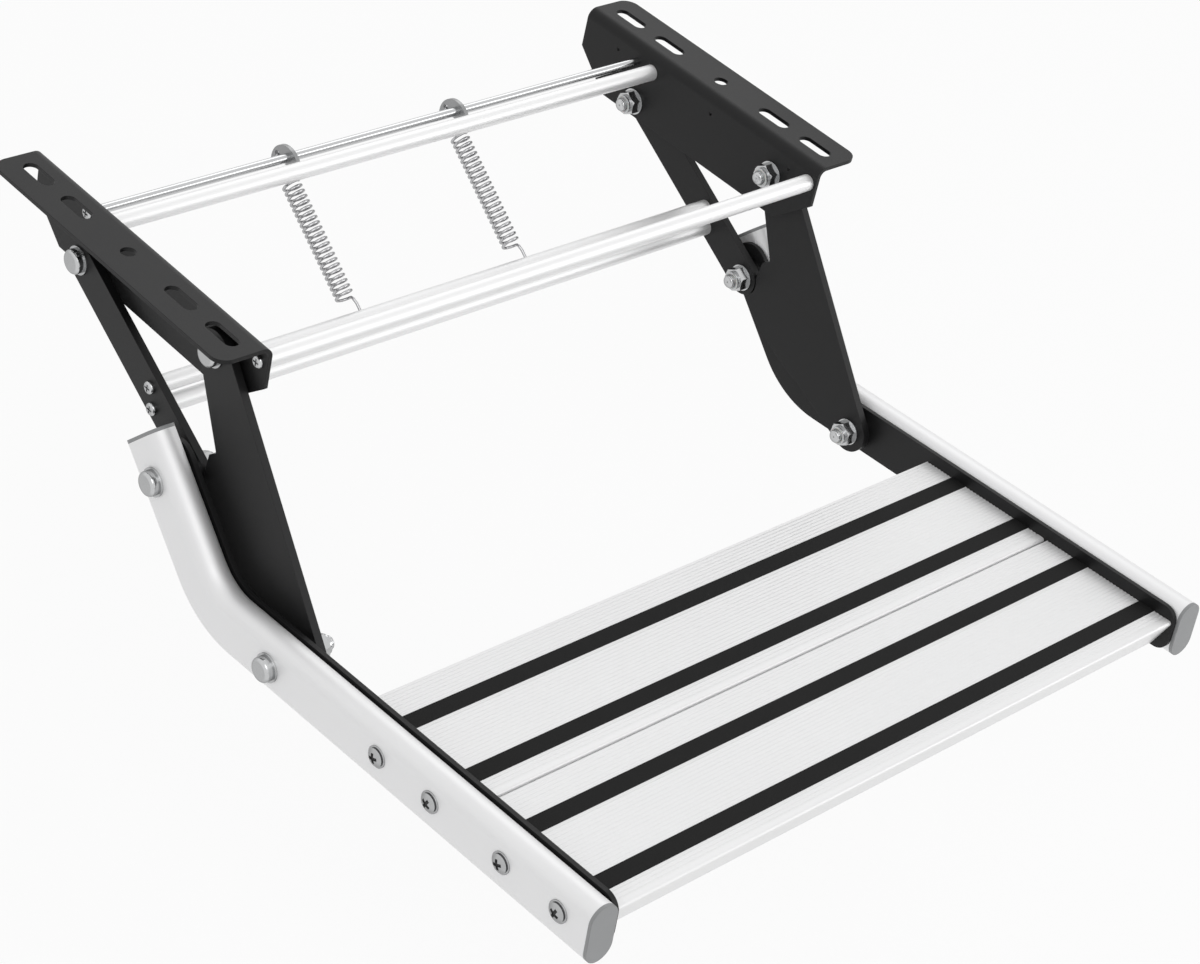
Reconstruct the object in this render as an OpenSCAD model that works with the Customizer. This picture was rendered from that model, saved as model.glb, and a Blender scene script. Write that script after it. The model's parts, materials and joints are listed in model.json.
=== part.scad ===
// Folding entry step for a caravan or camper.
// Two flanged brackets carry a four-bar linkage, and the linkage carries a tread of two planks
// between bent tubular arms. The step is drawn lowered, ready for use, in millimetres.
// X runs across the step, the front is towards -Y, and Z is up from the top of the flanges.

/* [Overall] */
// Width over the outer edges of the two mounting flanges
overall_w = 600; // [520:10:680]

/* [Brackets] */
// Length of a bracket from front to back
bracket_l = 262; // [260:1:280]
// Height of a bracket's web below the flange's top
bracket_h = 60.5; // [60:0.5:66]
// Thickness of the folded sheet
sheet_t = 3; // [2.5:0.5:4]
// Outer radius of the fold between web and flange
bend_r = 8; // [6:1:10]
// Width of a flange outside its web
flange_w = 40; // [38:1:46]
// Radius of the flange's outer corners
flange_corner_r = 11; // [6:1:14]
// How far the web's lower corners are cut back
web_cut_l = 32; // [24:1:34]
// How high the cut on the web's lower corners starts
web_cut_h = 27.5; // [20:0.5:28]
// Centre distance of the outer pair of slots
outer_slots = 209; // [204:1:212]
// Centre distance of the inner pair of slots
inner_slots = 119; // [110:1:124]
// Length of a slot over its round ends
slot_l = 30; // [24:1:32]
// Width of a slot and diameter of the middle hole
slot_w = 11; // [9:0.5:12]

/* [Linkage] */
// Distance between the two pivots of a rear link
rear_link_l = 166; // [165:0.5:168]
// Distance between the two pivots of a front link
front_link_l = 206.4; // [205:0.2:208]
// Distance between the two pivots on a tread arm
arm_pivots = 150; // [149:0.5:151]
// Slope of the rear links below level when the step is down
rear_link_drop = 29.2; // [28.6:0.2:29.8]
// Thickness of the links
link_t = 6; // [5:0.5:8]
// Width of a rear link
link_w = 28; // [26:1:29]
// Width of a front link at its pivots
front_link_w = 33; // [30:1:34]
// Space between a web and a link
link_gap = 2.5; // [2:0.5:4]
// Space between a link and the arm's plate
arm_gap = 5; // [4:0.5:6]

/* [Tread arms] */
// Width of the arm tube
arm_w = 22; // [20:1:24]
// Height of the arm tube
arm_h = 44; // [42:1:48]
// Wall of the arm tube
arm_wall = 2; // [1.5:0.5:3]
// Radius of the arm's bend on its centre line
arm_bend_r = 60; // [54:1:64]
// Forward rise of the lowered treads
arm_tilt = 4; // [3.6:0.1:4.4]
// Slope of the arm's upper leg
arm_rise = 43.5; // [42.5:0.5:44.5]
// Thickness of the plate inside each arm
plate_t = 3.5; // [3:0.5:5]
// Height of that plate
plate_h = 36; // [35:1:40]

/* [Treads] */
// Distance from the front arm pivot to the rear plank
tread_start = 69; // [60:1:76]
// Depth of one plank
plank_d = 119.8; // [116:0.2:124]
// Thickness of a plank
plank_t = 25; // [22:1:26]
// Wall of the hollow planks
plank_wall = 2.2; // [1.8:0.2:3]
// Height of the planks' top above the arms' centre line
tread_top = 9.7; // [9:0.1:11]
// Distance from rib to rib
rib_pitch = 4; // [3:0.5:5]
// Depth of the grooves between the ribs
rib_h = 1.2; // [0.8:0.1:1.6]
// Width of a black grip strip
strip_w = 14; // [10:1:16]

/* [Springs] */
// Outer diameter of the coils
coil_d = 15; // [12:0.5:16]
// Diameter of the spring wire
wire_d = 2.2; // [1.6:0.1:2.4]
// Number of coils
coils = 22; // [18:1:24]

/* [Fasteners] */
// Diameter of the pivot bolts
bolt_d = 10; // [8:1:11]
// Diameter of the washers on the pivot bolts
washer_d = 21; // [20:0.5:24]
// Thickness of those washers
washer_t = 1.6; // [1.2:0.2:2]
// Diameter of the cross bars
bar_d = 12.7; // [12:0.1:14]
// Diameter of the rear rod
rod_d = 7; // [6:0.5:8]

/* [Hidden] */
$fn = 48;
eps = 0.01;
lap = 0.2;
seam = 0.04;
half_w = overall_w / 2;

// Planes across the step, from the middle outwards
web_out = half_w - flange_w;
web_in = web_out - sheet_t;
link_in = web_out + link_gap;
link_out = link_in + link_t;
plate_in = link_out + arm_gap;
arm_in = plate_in + plate_t;
arm_out = arm_in + arm_w;
arm_mid = arm_in + arm_w / 2;

// Pivots in the side view, as [y, z]
rear_pivot = [64, -48];
front_pivot = [-87, -29];
rear_dir = [-cos(rear_link_drop), -sin(rear_link_drop)];
rear_up = [rear_dir.y, -rear_dir.x];
arm_top_pivot = rear_pivot + rear_link_l * rear_dir;
pivot_gap = arm_top_pivot - front_pivot;
gap_l = norm(pivot_gap);
reach = (front_link_l ^ 2 - arm_pivots ^ 2 + gap_l ^ 2) / (2 * gap_l);
side = sqrt(front_link_l ^ 2 - reach ^ 2);
gap_dir = pivot_gap / gap_l;
arm_low_pivot = front_pivot + reach * gap_dir + side * [gap_dir.y, -gap_dir.x];

// Cross bars and spring anchors in the side view
bar_r = bar_d / 2;
rod_at = rear_pivot + [6, 32.6];
rear_bar_at = rear_pivot + [-11, 32];
front_bar_end = 8.5;
front_bar_at = [front_bar_end - bracket_l / 2, rear_bar_at.y];
upper_bar_along = 103.5;
upper_bar_up = 3.5;
bars_gap = 2.9;
bars_slope = 42.4;
upper_bar_at = rear_pivot + upper_bar_along * rear_dir + upper_bar_up * rear_up;
lower_bar_at = upper_bar_at + (bar_d + bars_gap) * (cos(bars_slope) * rear_dir - sin(bars_slope) * rear_up);
small_hole_r = 1.5;
small_hole_y = [bracket_l / 2 - 39, -15, 29 - bracket_l / 2];

// Spring hangers, as [y, z] from the rear rod
hanger_t = 3;
hanger_hole = rod_at + [12, -3.2];
hanger_hole_r = 2.5;
hanger_mid = rod_at + [2, -8.6];
hanger_r = 16;
hanger_hollow_at = rod_at + [0, -21.6];
hanger_hollow_r = 15;
hanger_low = 10.6;
spring_x = [-88, 71];

// Stop lobe of a front link, as [along, out] from the bracket pivot
lobe_taper = 14.3;
lobe_root = [70, 34];
lobe_neck = [65.6, 41.6];
lobe_lip = [88, 66];
lobe_tip = [96, 76];
lobe_end = [front_link_l - 43.4, 50];
lobe_foot = [front_link_l - 43.6, 40.4];
lobe_arc_at = [front_link_l - 142.9, -98.8];
lobe_arc_r = 171;

// Arm centre line: front leg, bend, upper leg
front_dir = [-cos(arm_tilt), sin(arm_tilt)];
up_dir = [cos(arm_rise), sin(arm_rise)];
to_top = arm_top_pivot - arm_low_pivot;
corner_l = (to_top.x * up_dir.y - to_top.y * up_dir.x)
    / (front_dir.y * up_dir.x - front_dir.x * up_dir.y);
arm_corner = arm_low_pivot - corner_l * front_dir;
bend_angle = arm_rise + arm_tilt;
bend_tangent = arm_bend_r * tan(bend_angle / 2);
bend_start = arm_corner + bend_tangent * front_dir;
bend_end = arm_corner + bend_tangent * up_dir;
bend_centre = bend_start + arm_bend_r * [sin(arm_tilt), cos(arm_tilt)];
arm_tail = 30;
plank_gap = 0.5;
plank_pitch = plank_d + plank_gap;
arm_front_l = tread_start + 2 * plank_pitch + 1.4;
front_run = arm_front_l + corner_l - bend_tangent;
upper_run = norm(arm_top_pivot - arm_corner) - bend_tangent + arm_tail;
cap_t = 2.5;
cap_plug = 6;
plate_shift = 1;
plate_tail = 7;
plate_corner_r = 11;

// Fits and small fastener sizes
clear = 0.05;
bolt_r = bolt_d / 2;
hole_r = bolt_r + clear;
split_gap = 0.3;
stop_gap = 1.2;
head_r = 9;
head_h = 6;
nut_h = 8;
nut_flats = 17;
nut_collar_r = 7.2;
nut_collar_h = 2.4;
thread_out = 3;
screw_r = 2.5;
rod_screw_r = 1.5;
screw_head_r = 4.9;
screw_head_h = 3;
screw_hole_r = 2.6;
screw_in = 14;
small_washer_r = 6;
small_washer_t = 1;
recess_w = 1.2;
recess_l = 5.6;
recess_d = 1.6;

// Planks
nose_r = 6;
nose_lean = 25;
foot_back = 11;
strip_d = 2.6;
strip_proud = 0.4;
rear_strip = 27.5;
front_strip = plank_d - 29.8;
port_r = 5;
port_drop = 6.7;
front_port = plank_d - 23.3;
port_at = [44, front_port];
web_at = [34.5, 67, front_port];

// Colours
black = [0.09, 0.09, 0.1];
satin = [0.78, 0.79, 0.8];
zinc = [0.72, 0.73, 0.74];
grey = [0.5, 0.51, 0.52];

// The same thing on the right and, mirrored, on the left
module both_sides() {
    children();
    mirror([1, 0, 0]) children();
}

// A flat piece with its outline drawn in the side view, standing on plane x
module side_plate(x, t) {
    translate([x, 0, 0]) rotate([90, 0, 90]) linear_extrude(t) children();
}

// A round piece along X through the side-view point p
module rod_x(x0, x1, p, r) {
    translate([x0, p.x, p.y]) rotate([0, 90, 0]) cylinder(h = x1 - x0, r = r);
}

module ring_x(x0, x1, p, r, bore) {
    difference() {
        rod_x(x0, x1, p, r);
        rod_x(x0 - 1, x1 + 1, p, bore);
    }
}

// Flat bar outline with round ends about two points
module bar_shape(a, b, r) {
    l = norm(b - a);
    translate(a) rotate(atan2(b.y - a.y, b.x - a.x)) {
        circle(r);
        translate([l, 0]) circle(r);
        translate([0, -r]) square([l, 2 * r]);
    }
}

// Upright flat oval
module oval(w, h) {
    r = w / 2;
    for (s = [-1, 1]) translate([0, s * (h / 2 - r)]) circle(r);
    square([w, h - w], center = true);
}

// Folded sheet in section, web to the left and flange to the right
module bracket_section() {
    translate([web_in, -bracket_h]) square([sheet_t, bracket_h - bend_r]);
    translate([web_in + bend_r, -sheet_t]) square([half_w - web_in - bend_r, sheet_t]);
    translate([web_in + bend_r, -bend_r]) intersection() {
        difference() {
            circle(bend_r);
            circle(bend_r - sheet_t);
        }
        translate([-bend_r, 0]) square(bend_r);
    }
}

module slot(y) {
    straight = slot_l - slot_w;
    translate([slot_x(), y, 0]) {
        for (s = [-1, 1]) translate([0, s * straight / 2, 0])
            cylinder(h = 3 * sheet_t, d = slot_w, center = true);
        cube([slot_w, straight, 3 * sheet_t], center = true);
    }
}

function slot_x() = web_out + flange_w / 2 - 1.5;

module corner_cut(s) {
    r = flange_corner_r;
    translate([half_w - r, s * (bracket_l / 2 - r), 0]) difference() {
        translate([0, s > 0 ? 0 : -r - 1, -2 * sheet_t]) cube([r + 1, r + 1, 3 * sheet_t]);
        cylinder(h = 6 * sheet_t, r = r, center = true);
    }
}

module bracket() {
    color(black) difference() {
        rotate([90, 0, 0]) linear_extrude(bracket_l, center = true) bracket_section();
        for (s = [-1, 1]) {
            slot(s * outer_slots / 2);
            slot(s * inner_slots / 2);
            corner_cut(s);
            side_plate(web_in - 1, sheet_t + 2) polygon([
                [s * (bracket_l / 2 - web_cut_l), -bracket_h],
                [s * (bracket_l / 2 - web_cut_l), -bracket_h - 1],
                [s * (bracket_l / 2 + 1), -bracket_h - 1],
                [s * (bracket_l / 2 + 1), -bracket_h + web_cut_h],
                [s * bracket_l / 2, -bracket_h + web_cut_h]]);
        }
        translate([slot_x(), 0, 0]) cylinder(h = 3 * sheet_t, d = slot_w, center = true);
        for (p = [rear_pivot, front_pivot]) rod_x(web_in - 1, web_out + 1, p, hole_r);
        for (p = [rear_bar_at, front_bar_at]) rod_x(web_in - 1, web_out + 1, p, screw_hole_r);
        rod_x(web_in - 1, web_out + 1, rod_at, rod_screw_r + clear);
        for (y = small_hole_y) rod_x(web_in - 1, web_out + 1, [y, rear_bar_at.y], small_hole_r);
    }
}

module bracket_right() { bracket(); }
module bracket_left() { mirror([1, 0, 0]) bracket(); }

// Cross bar with a tapped hole in each end
module cross_bar(x, p, r, thread_r) {
    difference() {
        rod_x(-x, x, p, r);
        both_sides() rod_x(x - screw_in, x + 1, p, thread_r);
    }
}

module rear_bar() { color(satin) cross_bar(web_in, rear_bar_at, bar_r, screw_r); }
module front_bar() { color(satin) cross_bar(web_in, front_bar_at, bar_r, screw_r); }
module rear_rod() { color(zinc) cross_bar(web_in, rod_at, rod_d / 2, rod_screw_r); }

// Crescent that sits on the rear rod and against the rear bar, with an eye for the spring
module hanger(x) {
    color(zinc) side_plate(x - hanger_t / 2, hanger_t) difference() {
        translate(hanger_mid) circle(hanger_r);
        translate(hanger_hollow_at) circle(hanger_hollow_r);
        translate(rear_bar_at) circle(bar_r);
        translate(rod_at) circle(rod_d / 2);
        translate(hanger_hole) circle(hanger_hole_r);
        translate(rod_at - [2 * hanger_r, hanger_low + 2 * hanger_r]) square([4 * hanger_r, 2 * hanger_r]);
    }
}

module hanger_left() { hanger(spring_x[0]); }
module hanger_right() { hanger(spring_x[1]); }

// Low smooth head with a rounded rim, standing on plane x
module round_head(x, p, r, h, e) {
    translate([x, p.x, p.y]) rotate([0, 90, 0]) rotate_extrude() {
        square([r - e, h]);
        square([r, h - e]);
        intersection() {
            translate([r - e, h - e]) circle(e);
            square([r, h]);
        }
    }
}

module pan_screw(x, p, l, r = screw_r) {
    difference() {
        round_head(x, p, screw_head_r, screw_head_h, 2);
        for (w = [[recess_w, recess_l], [recess_l, recess_w]])
            translate([x + screw_head_h, p.x, p.y]) cube([2 * recess_d, w.x, w.y], center = true);
    }
    rod_x(x - l, x + eps, p, r);
}

// Hexagon lock nut on the inner side of plane x, with its plain collar facing inwards
module lock_nut(x, p) {
    hex_r = nut_flats / 2 / cos(30);
    difference() {
        union() {
            translate([x - nut_h, p.x, p.y]) rotate([0, 90, 0]) intersection() {
                cylinder(h = nut_h, r = hex_r, $fn = 6);
                cylinder(h = nut_h, r1 = hex_r - 1, r2 = hex_r - 1 + nut_h);
            }
            rod_x(x - nut_h - nut_collar_h, x - nut_h + eps, p, nut_collar_r);
        }
        rod_x(x - 2 * nut_h, x + 1, p, bolt_r);
    }
}

module pivot_bolt(x, p, x_end) {
    round_head(x, p, head_r, head_h, 2.5);
    rod_x(x_end, x + eps, p, bolt_r);
}

module frame_screws() {
    color(zinc) both_sides() {
        for (p = [rear_bar_at, front_bar_at]) pan_screw(web_out, p, screw_in);
        pan_screw(web_out, rod_at, screw_in, rod_screw_r);
    }
}

module bracket_bolts() {
    color(zinc) both_sides() for (p = [rear_pivot, front_pivot])
        pivot_bolt(link_out + washer_t, p, web_in - washer_t - nut_h - nut_collar_h - thread_out);
}

module bracket_spacers() {
    color(zinc) both_sides() for (p = [rear_pivot, front_pivot])
        ring_x(web_out, link_in, p, washer_d / 2, hole_r);
}

module bracket_head_washers() {
    color(zinc) both_sides() for (p = [rear_pivot, front_pivot])
        ring_x(link_out, link_out + washer_t, p, washer_d / 2, hole_r);
}

module bracket_nut_washers() {
    color(zinc) both_sides() for (p = [rear_pivot, front_pivot])
        ring_x(web_in - washer_t, web_in, p, washer_d / 2, hole_r);
}

module bracket_nuts() {
    color(zinc) both_sides() for (p = [rear_pivot, front_pivot]) lock_nut(web_in - washer_t, p);
}

module rear_link() {
    color(black) side_plate(link_in, link_t) difference() {
        bar_shape(rear_pivot, arm_top_pivot, link_w / 2);
        for (p = [rear_pivot, arm_top_pivot]) translate(p) circle(hole_r);
        for (p = [upper_bar_at, lower_bar_at]) translate(p) circle(screw_hole_r);
    }
}

module rear_link_right() { rear_link(); }
module rear_link_left() { mirror([1, 0, 0]) rear_link(); }

function spring_dir() = (upper_bar_at - hanger_hole) / norm(upper_bar_at - hanger_hole);

module spring_frame(x) {
    d = spring_dir();
    translate([x, hanger_hole.x, hanger_hole.y]) rotate([atan2(-d.x, d.y), 0, 0]) children();
}

// The bar that the springs pull on is drilled through for their ends
module upper_link_bar() {
    color(satin) difference() {
        cross_bar(link_in, upper_bar_at, bar_r, screw_r);
        for (x = spring_x) spring_frame(x + tail_x)
            cylinder(h = 2 * spring_l(), d = wire_d + 1);
    }
}

module lower_link_bar() { color(satin) cross_bar(link_in, lower_bar_at, bar_r, screw_r); }

module link_screws() {
    color(zinc) both_sides() for (p = [upper_bar_at, lower_bar_at]) pan_screw(link_out, p, link_t + screw_in);
}

// Front link along its own axis from the bracket pivot, with its stop lobe on the rear side
module front_link_outline() {
    r = front_link_w / 2;
    circle(r);
    translate([front_link_l, 0]) circle(r);
    polygon([[0, -r], [front_link_l, -r], [front_link_l, r], lobe_root,
        [-r * sin(lobe_taper), r * cos(lobe_taper)]]);
    intersection() {
        polygon([[lobe_neck.x, 0], [lobe_end.x, 0], lobe_end, lobe_tip, lobe_lip, lobe_neck]);
        translate(lobe_arc_at) circle(lobe_arc_r, $fn = 200);
    }
    polygon([[lobe_foot.x - 13, 0], [front_link_l, 0], [front_link_l + r * cos(60), r * sin(60)], lobe_foot]);
}

module front_link() {
    axis = arm_low_pivot - front_pivot;
    color(black) side_plate(link_in, link_t) difference() {
        translate(front_pivot) rotate(atan2(axis.y, axis.x)) front_link_outline();
        for (p = [front_pivot, arm_low_pivot]) translate(p) circle(hole_r);
        bar_shape(rear_pivot, arm_top_pivot, link_w / 2 + stop_gap);
    }
}

module front_link_right() { front_link(); }
module front_link_left() { mirror([1, 0, 0]) front_link(); }

// Threaded end of the front arm pivot, inside the link
module front_pivot_studs() {
    color(zinc) both_sides()
        rod_x(link_in - washer_t - nut_h - nut_collar_h - thread_out, link_out, arm_low_pivot, bolt_r);
}

module front_pivot_nut_washers() {
    color(zinc) both_sides() ring_x(link_in - washer_t, link_in, arm_low_pivot, washer_d / 2, hole_r);
}

module front_pivot_nuts() { color(zinc) both_sides() lock_nut(link_in - washer_t, arm_low_pivot); }

// Head end of the front arm pivot, outside the link
module front_pivot_bolts() {
    color(zinc) both_sides() pivot_bolt(arm_out + washer_t, arm_low_pivot, link_out + split_gap);
}

module front_pivot_spacers() {
    color(zinc) both_sides() ring_x(link_out + split_gap, plate_in, arm_low_pivot, washer_d / 2, hole_r);
}

module rear_pivot_bolts() {
    color(zinc) both_sides() pivot_bolt(arm_out + washer_t, arm_top_pivot,
        link_in - washer_t - nut_h - nut_collar_h - thread_out);
}

module rear_pivot_spacers() {
    color(zinc) both_sides() ring_x(link_out, plate_in, arm_top_pivot, washer_d / 2, hole_r);
}

module rear_pivot_nut_washers() {
    color(zinc) both_sides() ring_x(link_in - washer_t, link_in, arm_top_pivot, washer_d / 2, hole_r);
}

module rear_pivot_nuts() { color(zinc) both_sides() lock_nut(link_in - washer_t, arm_top_pivot); }

module arm_pivot_washers() {
    color(zinc) both_sides() for (p = [arm_top_pivot, arm_low_pivot])
        ring_x(arm_out, arm_out + washer_t, p, washer_d / 2, hole_r);
}

// Side-view point at distance f in front of the low arm pivot and w above the arm's axis
function on_arm(f, w) = arm_low_pivot + f * front_dir + w * [sin(arm_tilt), cos(arm_tilt)];

tread_screw_at = [for (k = [0, 1], f = port_at)
    on_arm(tread_start + k * plank_pitch + f, tread_top - port_drop)];

// Straight piece of arm from the side-view point p in direction a
module arm_run(p, a, l) {
    translate([arm_mid, p.x, p.y]) rotate([a - 90, 0, 0]) linear_extrude(l) children();
}

module arm_section(inset = 0) {
    difference() {
        oval(arm_w - 2 * inset, arm_h - 2 * inset);
        oval(arm_w - 2 * arm_wall + 2 * inset, arm_h - 2 * arm_wall + 2 * inset);
    }
}

module arm() {
    color(satin) difference() {
        translate([arm_mid, bend_centre.x, bend_centre.y]) rotate([-arm_tilt, 0, 0]) {
            translate([0, 0, -arm_bend_r]) rotate([90, 0, 0]) linear_extrude(front_run) arm_section();
            rotate([90, 0, 90]) rotate(-90) rotate_extrude(angle = bend_angle, $fn = 144)
                translate([arm_bend_r, 0]) rotate(90) arm_section();
            rotate([bend_angle, 0, 0]) translate([0, -lap, -arm_bend_r]) rotate([-90, 0, 0])
                linear_extrude(lap + upper_run) arm_section(seam);
        }
        for (p = [arm_top_pivot, arm_low_pivot]) rod_x(arm_in - 1, arm_out + 1, p, hole_r);
        for (p = tread_screw_at) rod_x(arm_in - 1, arm_out + 1, p, screw_hole_r);
    }
}

module arm_right() { arm(); }
module arm_left() { mirror([1, 0, 0]) arm(); }

// Plate that follows the arm on its inner side and joins it to the links
module arm_plate_outline() {
    low = plate_shift - plate_h / 2;
    r = plate_corner_r;
    mid = bend_centre;
    far = 3 * arm_bend_r;
    translate(bend_start) rotate(180 - arm_tilt) translate([-lap, -low - plate_h]) {
        square([lap + front_run - r, plate_h]);
        translate([0, r]) square([lap + front_run, plate_h - 2 * r]);
        for (y = [r, plate_h - r]) translate([lap + front_run - r, y]) circle(r);
    }
    intersection() {
        translate(mid) difference() {
            circle(arm_bend_r - low, $fn = 144);
            circle(arm_bend_r - low - plate_h, $fn = 144);
        }
        polygon([mid, mid + far * [-sin(arm_tilt), -cos(arm_tilt)],
            mid + far * [sin(arm_rise), -cos(arm_rise)]]);
    }
    reach_up = upper_run - arm_tail + plate_tail;
    translate(bend_end) rotate(arm_rise) {
        translate([-lap, low]) square([lap + reach_up, plate_h]);
        translate([reach_up, plate_shift]) circle(plate_h / 2);
    }
}

module arm_plate() {
    color(black) side_plate(plate_in, plate_t) difference() {
        arm_plate_outline();
        for (p = [arm_top_pivot, arm_low_pivot]) translate(p) circle(hole_r);
        for (p = tread_screw_at) translate(p) circle(screw_hole_r);
    }
}

module arm_plate_right() { arm_plate(); }
module arm_plate_left() { mirror([1, 0, 0]) arm_plate(); }

// Moulded plug for an arm's end, with a lid the size of the tube
module arm_cap(p, a) {
    arm_run(p, a, cap_t) oval(arm_w, arm_h);
    arm_run(p, a + 180, cap_plug) oval(arm_w - 2 * arm_wall, arm_h - 2 * arm_wall);
}

module arm_front_caps() {
    color(grey) both_sides() arm_cap(bend_start + front_run * front_dir, 180 - arm_tilt);
}

module arm_top_caps() {
    color(grey) both_sides() arm_cap(bend_end + upper_run * up_dir, arm_rise);
}

// Plank in section, from its rear edge forwards and down from its top
module plank_outline() {
    polygon([[0, -plank_t], [plank_d - foot_back, -plank_t],
        [plank_d - nose_r + nose_r * cos(nose_lean), -nose_r - nose_r * sin(nose_lean)],
        [plank_d - nose_r, 0], [0, 0]]);
    translate([plank_d - nose_r, -nose_r]) circle(nose_r);
}

module plank_hollow() {
    low = plank_wall - plank_t;
    top = -rib_h - plank_wall;
    difference() {
        polygon([[plank_wall, low], [plank_d - foot_back - plank_wall, low],
            [plank_d - nose_r, -nose_r - 4], [plank_d - nose_r, top], [plank_wall, top]]);
        for (f = [rear_strip, front_strip]) translate([f - plank_wall, -strip_d - plank_wall])
            square([strip_w + 2 * plank_wall, plank_t / 2]);
        for (f = web_at) translate([f - plank_wall / 2, -plank_t]) square([plank_wall, plank_t]);
        for (f = port_at) translate([f, -port_drop]) circle(port_r);
    }
}

module rib_grooves(from, to) {
    land = rib_pitch / 2;
    for (f = [from + land : rib_pitch : to - rib_pitch + eps]) translate([f, -rib_h]) square([land, 2 * rib_h]);
}

module plank_section() {
    difference() {
        plank_outline();
        plank_hollow();
        rib_grooves(0, rear_strip);
        rib_grooves(rear_strip + strip_w, front_strip);
        for (f = [rear_strip, front_strip]) translate([f, -strip_d]) square([strip_w, 2 * strip_d]);
        for (f = port_at) translate([f, -port_drop]) circle(screw_r);
        translate([plank_d - nose_r - 3.4, -0.8]) square([1.2, 2]);
    }
}

// Outline drawn as distance f and height w on the arm, carried into the side view
module in_step() { translate(arm_low_pivot) rotate(-arm_tilt) mirror([1, 0]) children(); }

module plank(k) {
    color(satin) side_plate(-plate_in, 2 * plate_in) in_step()
        translate([tread_start + k * plank_pitch, tread_top]) plank_section();
}

module rear_plank() { plank(0); }
module front_plank() { plank(1); }

module grip_strips() {
    color(black) side_plate(-plate_in, 2 * plate_in) in_step()
        for (k = [0, 1], f = [rear_strip, front_strip])
            translate([tread_start + k * plank_pitch + f, tread_top - strip_d])
                square([strip_w, strip_d + strip_proud]);
}

module tread_screws() {
    color(zinc) both_sides() for (p = tread_screw_at)
        pan_screw(arm_out + small_washer_t, p, small_washer_t + arm_w + plate_t + screw_in);
}

module tread_screw_washers() {
    color(zinc) both_sides() for (p = tread_screw_at)
        ring_x(arm_out, arm_out + small_washer_t, p, small_washer_r, screw_hole_r);
}

// Extension spring along its own Z: a through hook at the hanger, close coils, and a straight end
// that passes through the link bar and is bent over behind it
function spring_l() = norm(upper_bar_at - hanger_hole);

wire_r = wire_d / 2;
coil_r = (coil_d - wire_d) / 2;
coil_x = -2.2;
coil_steps = 14;
coil_from = 24;
coil_to = spring_l() - 18;
turn_r = 3;
lead = asin(turn_r / coil_r);
hook_r = 3.6;
hook_leg = 4;
hook_gap = 0.15;
hook_top = hanger_hole_r - hook_gap - hook_r + sqrt((hook_r - wire_r) ^ 2 - (hanger_t / 2) ^ 2);
tail_x = 5;
tail_l = 9;
tail_bend = 2;
tail_gap = 0.3;
tail_z = spring_l() + bar_r + wire_r + tail_gap;

// Wire between the end coil and its straight, t degrees into the turn
function turned(t, s) = [coil_x + sqrt(coil_r ^ 2 - (turn_r * (1 - cos(t))) ^ 2), s * turn_r * (1 - cos(t))];

function spring_path() = concat(
    [[-hook_r, 0, hook_top + hook_r + hook_leg]],
    [for (t = [180 : -22.5 : 0]) [hook_r * cos(t), 0, hook_top + hook_r - hook_r * sin(t)]],
    [[hook_r, 0, coil_from - 2 * turn_r - 2]],
    [for (t = [0 : 30 : 60]) [turned(t, 1).x, turned(t, 1).y, coil_from - turn_r * (1 - sin(t))]],
    [for (i = [0 : coils * coil_steps]) let (a = lead + i * (360 * coils - 2 * lead) / (coils * coil_steps))
        [coil_x + coil_r * cos(a), coil_r * sin(a), coil_from + (coil_to - coil_from) * i / (coils * coil_steps)]],
    [for (t = [60 : -30 : 0]) [turned(t, -1).x, turned(t, -1).y, coil_to + turn_r * (1 - sin(t))]],
    [[tail_x, 0, coil_to + 2 * turn_r], [tail_x, 0, tail_z - tail_bend]],
    [for (t = [30 : 30 : 90]) [tail_x - tail_bend * (1 - cos(t)), 0, tail_z - tail_bend * (1 - sin(t))]],
    [[tail_x - tail_l, 0, tail_z]]);

function unit(v) = v / norm(v);
function tangent(p, i) = unit(p[min(i + 1, len(p) - 1)] - p[max(i - 1, 0)]);
function square_to(n, t) = unit(n - (n * t) * t);

// Round wire of radius r along the points p
module wire(p, r, sides) {
    last = len(p) - 1;
    normals = [for (i = 0, n = square_to([0, 1, 0], tangent(p, 0)); i <= last;
        n = square_to(n, tangent(p, min(i + 1, last))), i = i + 1) n];
    points = [for (i = [0 : last], k = [0 : sides - 1])
        let (a = k * 360 / sides, b = cross(tangent(p, i), normals[i]))
            p[i] + r * (cos(a) * normals[i] + sin(a) * b)];
    skin = [for (i = [0 : last - 1], k = [0 : sides - 1]) let (m = (k + 1) % sides)
        each [[i * sides + k, (i + 1) * sides + k, (i + 1) * sides + m],
            [i * sides + k, (i + 1) * sides + m, i * sides + m]]];
    ends = [[for (k = [0 : sides - 1]) k], [for (k = [sides - 1 : -1 : 0]) last * sides + k]];
    polyhedron(points, concat(skin, ends), convexity = 8);
}

module spring(x) { color(zinc) spring_frame(x) wire(spring_path(), wire_r, 6); }

module spring_left() { spring(spring_x[0]); }
module spring_right() { spring(spring_x[1]); }

bracket_left();
bracket_right();
rear_rod();
rear_bar();
front_bar();
hanger_left();
hanger_right();
frame_screws();
bracket_bolts();
bracket_spacers();
bracket_head_washers();
bracket_nut_washers();
bracket_nuts();
rear_link_left();
rear_link_right();
upper_link_bar();
lower_link_bar();
link_screws();
front_link_left();
front_link_right();
front_pivot_studs();
front_pivot_nut_washers();
front_pivot_nuts();
spring_left();
spring_right();
arm_left();
arm_right();
arm_plate_left();
arm_plate_right();
rear_plank();
front_plank();
grip_strips();
arm_front_caps();
arm_top_caps();
tread_screws();
tread_screw_washers();
arm_pivot_washers();
rear_pivot_bolts();
rear_pivot_spacers();
rear_pivot_nut_washers();
rear_pivot_nuts();
front_pivot_bolts();
front_pivot_spacers();
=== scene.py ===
"""Finish of a folding caravan entry step: coatings and metals, ribbed planks, screws, springs,
threads, nut rings and the studio."""

import json
import math

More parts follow.
